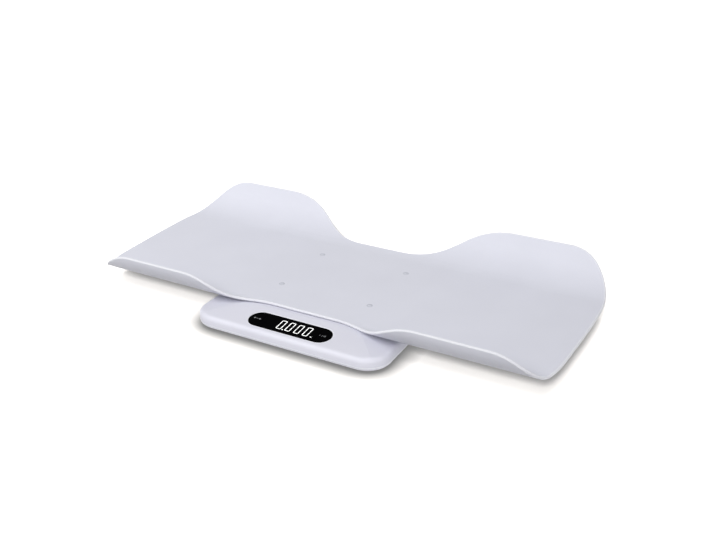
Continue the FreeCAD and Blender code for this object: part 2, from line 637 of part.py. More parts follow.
def board_screws():
    screws = []
    for x, v in board_screw_places():
        head = cylinder(x, v, BOARD_BACK_W - BOARD_HEAD_HEIGHT, BOARD_BACK_W, BOARD_HEAD_RADIUS)
        shank = cylinder(x, v, BOARD_BACK_W, BOARD_BACK_W + BOARD_SCREW_LENGTH, BOARD_SCREW_RADIUS)
        screws.append(on_panel(joined([head, shank])))
    return Part.makeCompound(screws)


def key_switch(side):
    body = panel_box(side * KEY_X, SWITCH_BODY / 2, SWITCH_BODY / 2, BOARD_TOP_W, SWITCH_TOP_W)
    plunger = cylinder(side * KEY_X, -LENS_SET_BACK, SWITCH_TOP_W, PLUNGER_TOP_W, SWITCH_PLUNGER_RADIUS)
    return on_panel(joined([body, plunger]))


# ================================================================ load cells and feet
CELL_BOTTOM_Z = WELL_CEILING_Z - CELL_THICKNESS


def load_cell(x, y):
    """Spring-steel plate: a frame that the housing rests on and a tongue that stands on the foot."""
    half = CELL_SIZE / 2
    plate = box(x - half, x + half, y - half, y + half, CELL_BOTTOM_Z, WELL_CEILING_Z)
    half_tongue = CELL_TONGUE_WIDTH / 2
    half_length = CELL_TONGUE_LENGTH / 2
    around = box(x - half_tongue - CELL_SLOT, x + half_tongue + CELL_SLOT, y - half_length,
                 y + half_length, CELL_BOTTOM_Z - OVERCUT, WELL_CEILING_Z + OVERCUT)
    tongue = box(x - half_tongue, x + half_tongue, y - half_length - OVERCUT, y + half_length - CELL_SLOT,
                 CELL_BOTTOM_Z - OVERCUT, WELL_CEILING_Z + OVERCUT)
    hole = cylinder(x, y, CELL_BOTTOM_Z - OVERCUT, WELL_CEILING_Z + OVERCUT,
                    CELL_PIN_RADIUS + CELL_PIN_CLEARANCE)
    return plate.cut(around.cut(tongue)).cut(hole)


def foot_carrier(x, y):
    """Cup that takes the rubber pad below and pushes on the load cell's tongue above."""
    disc = cylinder(x, y, CARRIER_BOTTOM_Z, CARRIER_TOP_Z, CARRIER_RADIUS)
    disc = disc.cut(cylinder(x, y, 0, PAD_THICKNESS, PAD_RADIUS + PAD_CLEARANCE))
    boss = cylinder(x, y, CARRIER_TOP_Z, CELL_BOTTOM_Z, CARRIER_BOSS_RADIUS)
    pin = cylinder(x, y, CELL_BOTTOM_Z, WELL_CEILING_Z + WELL_WALL / 2, CELL_PIN_RADIUS)
    return joined([disc, boss, pin])


def rubber_foot(x, y):
    pad = cylinder(x, y, 0, PAD_THICKNESS, PAD_RADIUS)
    pad = pad.makeChamfer(PAD_BEVEL, [e for e in pad.Edges if e.BoundBox.ZMax < FINE])
    outer = cylinder(x, y, -OVERCUT, PAD_GROOVE_DEPTH, PAD_GROOVE_RADIUS + PAD_GROOVE_WIDTH / 2)
    inner = cylinder(x, y, -OVERCUT, PAD_GROOVE_DEPTH, PAD_GROOVE_RADIUS - PAD_GROOVE_WIDTH / 2)
    return pad.cut(outer.cut(inner))


# ================================================================ batteries, contacts and door
def battery_rows():
    """Middle line of each cell and the side that its positive end faces."""
    first = BATTERY_MIDDLE_Y - BATTERY_PITCH * (CELL_COUNT - 1) / 2
    return [(first + i * BATTERY_PITCH, 1 if i % 2 == 0 else -1) for i in range(CELL_COUNT)]


def battery(y, side):
    nub_end = BAY_HALF_LENGTH - CONTACT_PLATE - CONTACT_BUMP
    shoulder = nub_end - BATTERY_NUB_LENGTH
    can = cylinder_along_x(nub_end - BATTERY_LENGTH, shoulder, y, BATTERY_AXIS_Z, BATTERY_RADIUS)
    nub = cylinder_along_x(shoulder, nub_end, y, BATTERY_AXIS_Z, BATTERY_NUB_RADIUS)
    cell = joined([can, nub])
    return cell if side > 0 else mirrored(cell)


def contact_spring(y):
    """Conical spring with closely stacked turns, drawn for the side of the negative ends."""
    start = -BAY_HALF_LENGTH + CONTACT_PLATE / 2
    pitch = (SPRING_LENGTH + CONTACT_PLATE / 2) / SPRING_TURNS
    narrowing = (SPRING_RADIUS_WIDE - SPRING_RADIUS_NARROW) / SPRING_TURNS
    line = [Vector(start, y, BATTERY_AXIS_Z)]
    for i in range(SPRING_TURNS):
        crest = SPRING_RADIUS_WIDE - i * narrowing
        line.append(Vector(start + i * pitch, y, BATTERY_AXIS_Z + crest - SPRING_WIRE))
        line.append(Vector(start + (i + 0.5) * pitch, y, BATTERY_AXIS_Z + crest))
    end = start + SPRING_TURNS * pitch
    line.append(Vector(end, y, BATTERY_AXIS_Z + SPRING_RADIUS_NARROW - SPRING_WIRE))
    line += [Vector(end, y, BATTERY_AXIS_Z), line[0]]
    return Part.Face(Part.makePolygon(line)).revolve(line[0], Vector(1, 0, 0), 360)


def battery_contacts():
    pieces = []
    wall = BAY_HALF_LENGTH - CONTACT_PLATE
    half = CONTACT_SIZE / 2
    for y, side in battery_rows():
        plate = box(wall, BAY_HALF_LENGTH, y - half, y + half, BATTERY_AXIS_Z - half, BATTERY_AXIS_Z + half)
        bump = cylinder_along_x(wall - CONTACT_BUMP, wall, y, BATTERY_AXIS_Z, BATTERY_NUB_RADIUS)
        positive = joined([plate, bump])
        negative = joined([mirrored(plate), contact_spring(y)])
        pieces += [positive, negative] if side > 0 else [mirrored(positive), mirrored(negative)]
    return Part.makeCompound(pieces)


def battery_door():
    """Sliding door with side flanges and a grooved thumb grip."""
    half = DOOR_HALF_WIDTH
    skin = box(-half, half, DOOR_FRONT_Y, DOOR_REAR_Y, HOUSING_BOTTOM_Z, FLANGE_BOTTOM_Z)
    wide = half + DOOR_FLANGE
    flange = box(-wide, wide, DOOR_FRONT_Y, DOOR_REAR_Y, FLANGE_BOTTOM_Z, FLANGE_TOP_Z)
    door = joined([skin, flange])
    for i in range(DOOR_GRIP_GROOVES):
        y = DOOR_FRONT_Y + (i + 2) * DOOR_GRIP_PITCH
        groove = box(-DOOR_GRIP_LENGTH / 2, DOOR_GRIP_LENGTH / 2, y, y + DOOR_GRIP_PITCH / 2,
                     HOUSING_BOTTOM_Z - OVERCUT, HOUSING_BOTTOM_Z + DOOR_GRIP_DEPTH)
        door = door.cut(groove)
    return door


def housing_screws():
    screws = []
    for x, y in screw_places():
        head = cylinder(x, y, SCREW_HEAD_Z, SCREW_HEAD_Z + SCREW_HEAD_HEIGHT, SCREW_HEAD_RADIUS)
        shank = cylinder(x, y, SCREW_HEAD_Z + SCREW_HEAD_HEIGHT, SCREW_TOP_Z, SCREW_RADIUS)
        screws.append(joined([head, shank]))
    return Part.makeCompound(screws)


# ================================================================ every node
os.makedirs("parts", exist_ok=True)
export("tray", tray())
export("upper_housing", upper_housing())
export("lower_housing", lower_housing())
export("display_lens", display_lens())
export("unit_key", panel_key(-1))
export("power_key", panel_key(1))
export("display_module", display_module())
export("main_board", main_board())
export("board_chips", board_chips())
export("board_screws", board_screws())
export("unit_switch", key_switch(-1))
export("power_switch", key_switch(1))
for corner, (foot_x, foot_y) in foot_places().items():
    export("load_cell_" + corner, load_cell(foot_x, foot_y))
    export("foot_carrier_" + corner, foot_carrier(foot_x, foot_y))
    export("rubber_foot_" + corner, rubber_foot(foot_x, foot_y))
for number, (row_y, row_side) in enumerate(battery_rows(), start=1):
    export("battery_" + str(number), battery(row_y, row_side))
export("battery_contacts", battery_contacts())
export("battery_door", battery_door())
export("housing_screws", housing_screws())
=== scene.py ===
# %% [markdown]
# # Digital baby scale
# This lesson dresses a home baby scale: a thin curved tray, loose so that it can be washed, on a
# low platform with a black display. The CAD frame already holds every solid piece at its true
# size. Blender adds what a CAD model leaves out: a finish for each part, the lit digits, the
# printed signs, the linings with painted shade in four sink marks and the recesses of the screws.
# Floor, light and camera come last. Everything is in metres, with +X along the tray, +Y to the
# back and +Z up.

# %% Load the frame
import math

import bmesh
import bpy
from mathutils import Matrix, Vector


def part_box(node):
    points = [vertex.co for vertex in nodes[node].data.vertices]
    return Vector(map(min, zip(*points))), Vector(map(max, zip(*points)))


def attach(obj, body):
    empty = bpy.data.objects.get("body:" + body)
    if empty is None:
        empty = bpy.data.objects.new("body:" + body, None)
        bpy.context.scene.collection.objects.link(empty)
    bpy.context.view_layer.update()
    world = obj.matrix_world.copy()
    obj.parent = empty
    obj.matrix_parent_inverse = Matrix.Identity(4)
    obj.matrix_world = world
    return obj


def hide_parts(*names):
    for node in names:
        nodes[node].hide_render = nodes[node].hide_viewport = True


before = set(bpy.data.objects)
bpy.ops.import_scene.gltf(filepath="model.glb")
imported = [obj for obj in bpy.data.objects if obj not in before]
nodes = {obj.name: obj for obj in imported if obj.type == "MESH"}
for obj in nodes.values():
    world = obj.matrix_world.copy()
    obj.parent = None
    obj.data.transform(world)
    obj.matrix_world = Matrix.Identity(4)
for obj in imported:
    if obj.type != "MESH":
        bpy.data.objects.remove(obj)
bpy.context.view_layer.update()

MM = 0.001

# %% [markdown]
# ## Colour and shader helpers
# A shader works in linear light, but colour charts and screens give sRGB values. One function
# turns an sRGB hex value into linear light, so every colour below is written as hex. Another adds
# a shader node with its settings and links in one line, which keeps a whole material short. All
# patterns read Object coordinates. They are in metres, and alike on every piece, because all
# pieces sit at the origin.

# %% Colours
def linear(hex_colour):
    """The linear colour of an sRGB hex value, with full alpha."""
    parts = [int(hex_colour[i:i + 2], 16) / 255 for i in (0, 2, 4)]
    return [p / 12.92 if p <= 0.04045 else ((p + 0.055) / 1.055) ** 2.4 for p in parts] + [1.0]


BLACK, WHITE = linear("000000"), linear("FFFFFF")
print("DADBE5 in linear light:", [round(c, 3) for c in linear("DADBE5")])

# %% Shader nodes
def add(tree, kind, settings=None, **inputs):
    """Adds a shader node. Each input gets a value, or a link from a socket.

    An input's name has _ for every space, and _0 or _1 means the input with that number.
    """
    node = tree.nodes.new("ShaderNode" + kind)
    for name, value in (settings or {}).items():
        setattr(node, name, value)
    for name, value in inputs.items():
        socket = node.inputs[int(name[1:]) if name[1:].isdigit() else name.replace("_", " ")]
        if isinstance(value, bpy.types.NodeSocket):
            tree.links.new(value, socket)
        else:
            socket.default_value = value
    return node


def new_material(name):
    """An empty material and its node tree."""
    material = bpy.data.materials.new(name)
    material.use_nodes = True
    material.node_tree.nodes.clear()
    return material, material.node_tree


print("shader helpers:", add.__name__, "and", new_material.__name__)

# %% [markdown]
# ## Moulded plastic
# Tray and housings are injection-moulded ABS. It is satin rather than shiny, because the mould was
# spark-eroded and left a fine grain. One flat colour with one roughness would look like paper, so
# three things are layered: broad, faint clouds of tone from uneven cooling, the grain in gloss and
# relief, and a painted highlight, a paler colour laid on the edges. Clouds and grain are noise on
# Object coordinates, with a scale worked out from millimetres. Real grain is about 0.1 mm wide and
# would not show, so it is drawn 0.5 to 0.8 mm wide. The Bevel node finds the edges: its rounded
# normal leaves the face's own normal only close to an edge.

# %% Pattern sizes
CLOUD_MM = 60


def scale_for(size_mm):
    """Texture scale whose blobs are about this many millimetres wide."""
    return 1.0 / (size_mm * MM)


print("texture scale of the clouds:", round(scale_for(CLOUD_MM), 1))

# %% Painted edge highlight
EDGE_REACH = 2.0 * MM
EDGE_STARTS = 0.99
EDGE_FULL = 0.92


def painted_highlight_share(tree):
    """Share of the painted edge highlight: 1 on a sharp edge and 0 on an open face, by how alike
    the two normals are.
    """
    rounded = add(tree, "Bevel", {"samples": 6}, Radius=EDGE_REACH)
    face = add(tree, "NewGeometry")
    likeness = add(tree, "VectorMath", {"operation": "DOT_PRODUCT"},
                   _0=rounded.outputs["Normal"], _1=face.outputs["Normal"])
    share = add(tree, "MapRange", Value=likeness.outputs["Value"],
                From_Min=EDGE_STARTS, From_Max=EDGE_FULL)
    return share.outputs["Result"]


print("edges are paler within", round(EDGE_REACH / MM, 1), "mm")

# %% ABS and nylon
GRAIN_SMOOTHER = 0.05
GRAIN_ROUGHER = 0.07


def moulded_plastic(name, base, shade, edge, grain_mm, depth_mm, roughness):
    """Satin plastic with clouds of tone, a fine grain in gloss and relief, and a painted highlight
    on its edges.
    """
    material, tree = new_material(name)
    where = add(tree, "TexCoord").outputs["Object"]
    clouds = add(tree, "TexNoise", Vector=where, Scale=scale_for(CLOUD_MM), Detail=3.0,
                 Roughness=0.5)
    tone = add(tree, "ValToRGB", Fac=clouds.outputs["Fac"])
    darker, lighter = tone.color_ramp.elements
    darker.position, darker.color = 0.3, linear(shade)
    lighter.position, lighter.color = 0.7, linear(base)
    grain = add(tree, "TexNoise", Vector=where, Scale=scale_for(grain_mm), Detail=2.0,
                Roughness=0.6)
    relief = add(tree, "Bump", Strength=0.35, Distance=depth_mm * MM,
                 Height=grain.outputs["Fac"])
    gloss = add(tree, "MapRange", Value=grain.outputs["Fac"], From_Min=0.3, From_Max=0.7,
                To_Min=roughness - GRAIN_SMOOTHER, To_Max=roughness + GRAIN_ROUGHER)
    colour = add(tree, "MixRGB", Fac=painted_highlight_share(tree), Color1=tone.outputs["Color"],
                 Color2=linear(edge))
    shader = add(tree, "BsdfPrincipled", Base_Color=colour.outputs[0],
                 Roughness=gloss.outputs["Result"], IOR=1.52, Specular_IOR_Level=0.3,
                 Normal=relief.outputs["Normal"])
    add(tree, "OutputMaterial", Surface=shader.outputs[0])
    return material


# In each plastic below, the fourth colour is a painted highlight on the edges.
# White ABS for the tray: soft satin, with a painted highlight that makes the rim bright.
tray_abs = moulded_plastic("tray_abs_spark_grain", "DADBE5", "D7D8E2", "FEFEFF",
                           grain_mm=0.7, depth_mm=0.03, roughness=0.48)
# White ABS for the housings and the door: a little glossier, so their round edges catch light.
housing_abs = moulded_plastic("housing_abs_spark_grain", "DADAE4", "D7D7E2", "F2F3F8",
                              grain_mm=0.6, depth_mm=0.03, roughness=0.42)
# Grey ABS for the foot carriers: duller and coarser, as on parts that nobody sees.
carrier_abs = moulded_plastic("foot_carrier_abs", "A9ABB0", "A3A5AA", "B6B8BD",
                              grain_mm=0.8, depth_mm=0.04, roughness=0.5)
# Glass-filled nylon for switches, chips and display module: nearly black and matt.
switch_nylon = moulded_plastic("switch_nylon", "26262A", "222226", "323236",
                               grain_mm=0.5, depth_mm=0.02, roughness=0.5)
print("moulded plastics:", [m.name for m in (tray_abs, housing_abs, carrier_abs, switch_nylon)])

# %% [markdown]
# ## Display lens
# The lens and its two end keys are smoked acrylic with a black print on the back. Bare acrylic
# would mirror the white studio and hide the digits, so such a lens has an anti-glare coat. What is
# left is a weak, slightly wavy sheen over deep black. Here the mirror of the acrylic itself is
# turned off with its specular level, and a very weak coat gives the sheen.

# %% Smoked acrylic
WAVE_MM = 25
HAZE_MM = 9


def smoked_acrylic():
    """Coated acrylic: deep black with a trace of haze and a faint, wavy sheen."""
    material, tree = new_material("smoked_acrylic_lens")
    where = add(tree, "TexCoord").outputs["Object"]
    wave = add(tree, "TexNoise", Vector=where, Scale=scale_for(WAVE_MM), Detail=1.0)
    relief = add(tree, "Bump", Strength=0.1, Distance=0.02 * MM, Height=wave.outputs["Fac"])
    haze = add(tree, "TexNoise", Vector=where, Scale=scale_for(HAZE_MM), Detail=2.0)
    tint = add(tree, "MixRGB", Fac=haze.outputs["Fac"], Color1=linear("020203"),
               Color2=linear("060607"))
    shader = add(tree, "BsdfPrincipled", Base_Color=tint.outputs[0], Roughness=0.5, IOR=1.49,
                 Specular_IOR_Level=0.0, Coat_Weight=0.015, Coat_Roughness=0.06,
                 Normal=relief.outputs["Normal"])
    add(tree, "OutputMaterial", Surface=shader.outputs[0])
    return material


lens_acrylic = smoked_acrylic()
print("lens:", lens_acrylic.name)

# %% [markdown]
# ## Rubber, steel and nickel
# The pads under the feet are moulded rubber, matt and slightly dusty. The load cells are rolled
# spring steel with long fine lines that run one way, and screws and contacts are plated. A metal
# keeps the default IOR, and its look comes from its colour and from how rough the rolling or the
# plating left it. Real rolling lines are finer than 0.1 mm and would not show, so they are drawn
# about half a millimetre apart, and a Mapping node stretches the noise along them.

# %% Rubber
DUST_MM = 4


def moulded_rubber():
    """Dark grey rubber: matt, with paler dust lying in patches."""
    material, tree = new_material("moulded_rubber_pad")
    where = add(tree, "TexCoord").outputs["Object"]
    dust = add(tree, "TexNoise", Vector=where, Scale=scale_for(DUST_MM), Detail=4.0,
               Roughness=0.7)
    tone = add(tree, "ValToRGB", Fac=dust.outputs["Fac"])
    clean, dusty = tone.color_ramp.elements
    clean.position, clean.color = 0.35, linear("5B5C60")
    dusty.position, dusty.color = 0.75, linear("6C6D71")
    relief = add(tree, "Bump", Strength=0.5, Distance=0.05 * MM, Height=dust.outputs["Fac"])
    shader = add(tree, "BsdfPrincipled", Base_Color=tone.outputs["Color"], Roughness=0.85,
                 IOR=1.52, Normal=relief.outputs["Normal"])
    add(tree, "OutputMaterial", Surface=shader.outputs[0])
    return material


pad_rubber = moulded_rubber()
print("rubber:", pad_rubber.name)

# %% Metals
LINE_GLOSS = 0.08


def lined_metal(name, colour, roughness, line_mm, stretch):
    """Metal whose gloss changes in fine lines, stretched along X by the given factor."""
    material, tree = new_material(name)
    where = add(tree, "TexCoord").outputs["Object"]
    drawn_out = add(tree, "Mapping", Vector=where, Scale=(1.0 / stretch, 1.0, 1.0))
    lines = add(tree, "TexNoise", Vector=drawn_out.outputs["Vector"], Scale=scale_for(line_mm),
                Detail=3.0)
    gloss = add(tree, "MapRange", Value=lines.outputs["Fac"], From_Min=0.3, From_Max=0.7,
                To_Min=roughness - LINE_GLOSS, To_Max=roughness + LINE_GLOSS)
    relief = add(tree, "Bump", Strength=0.2, Distance=0.01 * MM, Height=lines.outputs["Fac"])
    shader = add(tree, "BsdfPrincipled", Base_Color=linear(colour), Metallic=1.0,
                 Roughness=gloss.outputs["Result"], Normal=relief.outputs["Normal"])
    add(tree, "OutputMaterial", Surface=shader.outputs[0])
    return material


# Rolled spring steel: a soft grey shine in long streaks.
spring_steel = lined_metal("rolled_spring_steel", "B9BABD", roughness=0.34, line_mm=0.5,
                           stretch=12.0)
# Zinc plating: evenly mottled, with a slightly brighter shine.
zinc_steel = lined_metal("zinc_plated_screw", "B4B5B8", roughness=0.30, line_mm=0.6, stretch=1.0)
# Nickel plating: the brightest of the three, and a little yellow.
nickel = lined_metal("nickel_plated_contact", "C9C6BE", roughness=0.24, line_mm=0.5, stretch=2.0)
print("metals:", [m.name for m in (spring_steel, zinc_steel, nickel)])

# %% [markdown]
# ## Circuit board and cells
# The board is glass-fibre laminate under green solder mask. Copper tracks lie under the mask and
# show as slightly lighter lines: a brick texture gives lines at the right spacing without modelling
# each one. The cells have a printed jacket with a copper-coloured band at the positive end, as dry
# cells of any make have. The band starts at a place along X, so one comparison draws it.

# %% Board
TRACK_MM = 3


def solder_mask():
    """Green lacquer over copper: glossy, with lighter raised tracks."""
    material, tree = new_material("green_solder_mask")
    where = add(tree, "TexCoord").outputs["Object"]
    tracks = add(tree, "TexBrick", Vector=where, Color1=linear("11512B"),
                 Color2=linear("0E4725"), Mortar=linear("2C7A48"), Scale=scale_for(TRACK_MM),
                 Mortar_Size=0.04, Brick_Width=1.6, Row_Height=0.5)
    relief = add(tree, "Bump", Strength=0.4, Distance=0.03 * MM, Height=tracks.outputs["Fac"])
    shader = add(tree, "BsdfPrincipled", Base_Color=tracks.outputs["Color"], Roughness=0.3,
                 IOR=1.55, Normal=relief.outputs["Normal"])
    add(tree, "OutputMaterial", Surface=shader.outputs[0])
    return material


board_mask = solder_mask()
print("board:", board_mask.name)

# %% Cell jackets
BAND_START_X = 9.0 * MM


def cell_jacket(name, positive_side):
    """Dark printed foil with a copper-coloured band, towards +X for 1 and -X for -1."""
    material, tree = new_material(name)
    where = add(tree, "TexCoord").outputs["Object"]
    axes = add(tree, "SeparateXYZ", Vector=where)
    towards = add(tree, "Math", {"operation": "MULTIPLY"}, _0=axes.outputs["X"],
                  _1=float(positive_side))
    band = add(tree, "Math", {"operation": "GREATER_THAN"}, _0=towards.outputs[0],
               _1=BAND_START_X)
    colour = add(tree, "MixRGB", Fac=band.outputs[0], Color1=linear("1B1D22"),
                 Color2=linear("B4713D"))
    shader = add(tree, "BsdfPrincipled", Base_Color=colour.outputs[0], Roughness=0.28,
                 Metallic=0.6)
    add(tree, "OutputMaterial", Surface=shader.outputs[0])
    return material


jacket_right = cell_jacket("cell_jacket_right", 1)
jacket_left = cell_jacket("cell_jacket_left", -1)
print("cells:", jacket_right.name, jacket_left.name)

# %% [markdown]
# ## Finishes on the CAD nodes
# Most solids are right as they are and only need their finish. The table gives each node its
# material. Where pieces are alike, such as the four load cells, the start of their names stands for
# all of them, and the longest start that fits is the one that counts.

# %% Give every node its finish
FINISHES = {
    "tray": tray_abs, "upper_housing": housing_abs, "lower_housing": housing_abs,
    "battery_door": housing_abs, "display_lens": lens_acrylic, "unit_key": lens_acrylic,
    "power_key": lens_acrylic, "display_module": switch_nylon, "main_board": board_mask,
    "board_chips": switch_nylon, "board_screws": zinc_steel, "unit_switch": switch_nylon,
    "power_switch": switch_nylon, "load_cell": spring_steel, "foot_carrier": carrier_abs,
    "rubber_foot": pad_rubber, "battery_contacts": nickel, "housing_screws": zinc_steel,
    "battery_1": jacket_right, "battery_2": jacket_left, "battery_3": jacket_right,
}


def give_finish(obj, material):
    """Puts one material on the whole object."""
    obj.data.materials.clear()
    obj.data.materials.append(material)


for name, node in nodes.items():
    give_finish(node, FINISHES[max((k for k in FINISHES if name.startswith(k)), key=len)])
print("finishes given to", len(nodes), "nodes")

# %% [markdown]
# ## Axes of the display panel
# The display lies on a panel that falls 4.8 degrees towards the front. Flat pieces are easier to
# place in the panel's own axes: x to the right, v up the slope, w out of the panel. One matrix
# carries them from there onto the object. Its middle, and how high the lens's face stands, are
# measured on the lens itself.

# %% Panel axes
PANEL_SLOPE = math.radians(4.8)

lens_low, lens_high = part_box("display_lens")
middle_y = (lens_low[1] + lens_high[1]) / 2
middle_z = (lens_low[2] + lens_high[2]) / 2
panel_axes = Matrix.Translation((0, middle_y, middle_z)) @ Matrix.Rotation(PANEL_SLOPE, 4, "X")
to_panel = panel_axes.inverted()
lens_face_w = max((to_panel @ vertex.co).z for vertex in nodes["display_lens"].data.vertices)


def on_lens(x, v, turn=0.0, stretch=1.0):
    """Matrix that lays a flat piece on the lens, turned in degrees and stretched along its X."""
    return (panel_axes @ Matrix.Translation((x, v, lens_face_w))
            @ Matrix.Rotation(math.radians(turn), 4, "Z")
            @ Matrix.Scale(stretch, 4, (1, 0, 0)))


print("lens face lies", round(lens_face_w / MM, 2), "mm above the lens's middle")

# %% [markdown]
# ## Modelling by hand, in code
# New pieces are made as by hand: a primitive is added, vertices are picked by their place, and edit
# mode's operators shape them. An operator acts on all that is selected, and loading the frame
# leaves its nodes selected, so everything is deselected before a piece is picked. What repeats is
# modelled once and copied, each copy with its own mesh. A finished piece keeps its place in its
# mesh, with its origin at the world's.

# %% Selecting
def only(obj):
    """Selects one object and makes it active."""
    bpy.ops.object.select_all(action="DESELECT")
    obj.select_set(True)
    bpy.context.view_layer.objects.active = obj


def pick_vertices(obj, test):
    """Opens edit mode and selects only the vertices whose place passes the test."""
    only(obj)
    bpy.ops.object.mode_set(mode="EDIT")
    bpy.ops.mesh.select_mode(type="VERT")
    bpy.ops.mesh.select_all(action="DESELECT")
    mesh = bmesh.from_edit_mesh(obj.data)
    for vertex in mesh.verts:
        vertex.select_set(test(vertex.co))
    mesh.select_flush(True)
    bmesh.update_edit_mesh(obj.data)


def leave_edit():
    """Goes back to object mode, which writes the edits into the mesh."""
    bpy.ops.object.mode_set(mode="OBJECT")


bpy.ops.object.select_all(action="DESELECT")
print("selected at the start:", len(bpy.context.selected_objects))

# %% Naming, copying and joining
def named(name):
    """Names the active object and its mesh."""
    obj = bpy.context.active_object
    obj.name = obj.data.name = name
    return obj


def cylinder(name, sides, radius, height, base=0.0, turn=0.0):
    """A cylinder or prism that stands on z = base, with its place in its mesh."""
    bpy.ops.mesh.primitive_cylinder_add(vertices=sides, radius=radius, depth=height,
                                        location=(0, 0, base + height / 2),
                                        rotation=(0, 0, turn))
    piece = named(name)
    bpy.ops.object.transform_apply(location=True, rotation=True, scale=True)
    return piece


def copy_of(obj, name, move):
    """A copy with its own mesh, moved by a matrix."""
    twin = obj.copy()
    twin.data = obj.data.copy()
    twin.name = twin.data.name = name
    twin.data.transform(move)
    bpy.context.collection.objects.link(twin)
    return twin


def join(pieces, name):
    """Joins several objects into the first one."""
    bpy.ops.object.select_all(action="DESELECT")
    for piece in pieces:
        piece.select_set(True)
    bpy.context.view_layer.objects.active = pieces[0]
    bpy.ops.object.join()
    return named(name)


def discard(obj):
    """Removes a model that has been copied."""
    bpy.data.objects.remove(obj, do_unlink=True)


def settle(obj, material, body, slot):
    """Gives a finished piece its finish and its body. The slot is not used."""
    give_finish(obj, material)
    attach(obj, body)


print("modelling helpers:", [f.__name__ for f in (named, cylinder, copy_of, join, discard, settle)])

# %% [markdown]
# ## Lit digits
# The display shows four upright zeros of the seven-segment kind. They could be painted in the
# lens's material with maths on its coordinates, but thin solids are easier to place and keep their
# outline in any export. A segment is a flat bar with pointed ends, which is a hexagon that has been
# pulled long. One bar is modelled, laid on the lens and copied for the six segments that are lit in
# a zero, with a small gap between them, as the lamps of such a display have.

# %% One segment
SEGMENT_LENGTH = 5.3 * MM
SEGMENT_WIDTH = 0.95 * MM
SEGMENT_HEIGHT = 0.05 * MM
SEGMENT_GAP = 0.12 * MM


def segment(length):
    """A flat bar along X with pointed ends, its underside on z = 0."""
    tip = SEGMENT_WIDTH / math.sqrt(3)
    piece = cylinder("segment", 6, tip, SEGMENT_HEIGHT, turn=math.pi / 2)
    for side in (-1, 1):
        pick_vertices(piece, lambda co: co.x * side > tip / 4)
        bpy.ops.transform.translate(value=(side * (length / 2 - tip), 0, 0))
        leave_edit()
    return piece


bar = segment(SEGMENT_LENGTH - 2 * SEGMENT_GAP)
print("segment:", [round(size / MM, 2) for size in bar.dimensions], "mm")

# %% Four zeros on the lens
DIGIT_COUNT = 4
DIGIT_HEIGHT = 14.8 * MM
DIGIT_PITCH = 10.5 * MM
FIRST_DIGIT_X = -9.8 * MM


def segment_places():
    """Centre and turn of the six lit segments of a zero, clockwise from the top."""
    side, quarter = SEGMENT_LENGTH / 2, DIGIT_HEIGHT / 4
    return ((0, 2 * quarter, 0), (side, quarter, 90), (side, -quarter, 90),
            (0, -2 * quarter, 0), (-side, -quarter, 90), (-side, quarter, 90))


def zero(name, middle_x):
    """A zero on the lens: its upright bars are stretched to half the digit's height."""
    bars = []
    for x, v, turn in segment_places():
        stretch = (DIGIT_HEIGHT / 2) / SEGMENT_LENGTH if turn else 1.0
        bars.append(copy_of(bar, "bar", on_lens(middle_x + x, v, turn, stretch)))
    return join(bars, name)


display_marks = [zero("digit_" + str(i + 1), FIRST_DIGIT_X + i * DIGIT_PITCH)
                 for i in range(DIGIT_COUNT)]
discard(bar)
print("digits:", [mark.name for mark in display_marks])

# %% [markdown]
# ## Point and unit
# The decimal point is a small square lamp after the first digit, and the unit after the last digit
# is the plain word kg. Text is the quickest way to real letters, but it is a curve: it is made a
# mesh before it is laid on the lens, then its doubled points are merged and its faces turned
# outwards. Each curve of a letter gets only four steps, so that the thickened outline can't cross
# itself.

# %% Decimal point
POINT_SIZE = 1.5 * MM
POINT_X = FIRST_DIGIT_X + DIGIT_PITCH / 2


def flat_plate(name, sides, radius, height):
    """A thin plate with its underside on z = 0 and a softened upper edge."""
    plate = cylinder(name, sides, radius, height)
    pick_vertices(plate, lambda co: co.z > height / 2)
    bpy.ops.mesh.bevel(offset=height / 3, segments=1)
    leave_edit()
    return plate


point = flat_plate("decimal_point", 4, POINT_SIZE / math.sqrt(2), SEGMENT_HEIGHT)
point.data.transform(on_lens(POINT_X, -DIGIT_HEIGHT / 2, turn=45))
print("point:", len(point.data.polygons), "faces, at x =", round(POINT_X / MM, 2), "mm")

# %% Unit
UNIT_SIZE = 2.5 * MM
UNIT_X = 29.2 * MM
LETTER_WEIGHT = 0.008
CURVE_STEPS = 4
MERGE_REACH = 0.001 * MM


def flat_text(name, words, size):
    """Text as a thin closed mesh, centred, with its underside on z = 0."""
    bpy.ops.object.text_add()
    text = bpy.context.active_object
    text.data.body = words
    text.data.size = size
    text.data.align_x, text.data.align_y = "CENTER", "CENTER"
    text.data.extrude = SEGMENT_HEIGHT / 2
    text.data.resolution_u = CURVE_STEPS
    text.data.offset = size * LETTER_WEIGHT
    bpy.ops.object.convert(target="MESH")
    text = named(name)
    text.data.transform(Matrix.Translation((0, 0, SEGMENT_HEIGHT / 2)))
    pick_vertices(text, lambda co: True)
    bpy.ops.mesh.remove_doubles(threshold=MERGE_REACH)
    bpy.ops.mesh.normals_make_consistent(inside=False)
    leave_edit()
    return text


unit = flat_text("unit_mark", "kg", UNIT_SIZE)
unit.data.transform(on_lens(UNIT_X, -DIGIT_HEIGHT / 2 + UNIT_SIZE / 4))
display_marks += [point, unit]
print("unit:", len(unit.data.polygons), "faces")

# %% [markdown]
# ## Light of the lamps
# Digits, point and unit are white lamps that shine through the lens. A weak emission on a pale
# base makes them read as lit without washing out their edges. A real lamp isn't quite even, so
# noise changes the glow by a few percent from spot to spot.

# %% White lamps
LAMP_MM = 1.2
LAMP_GLOW = 0.6


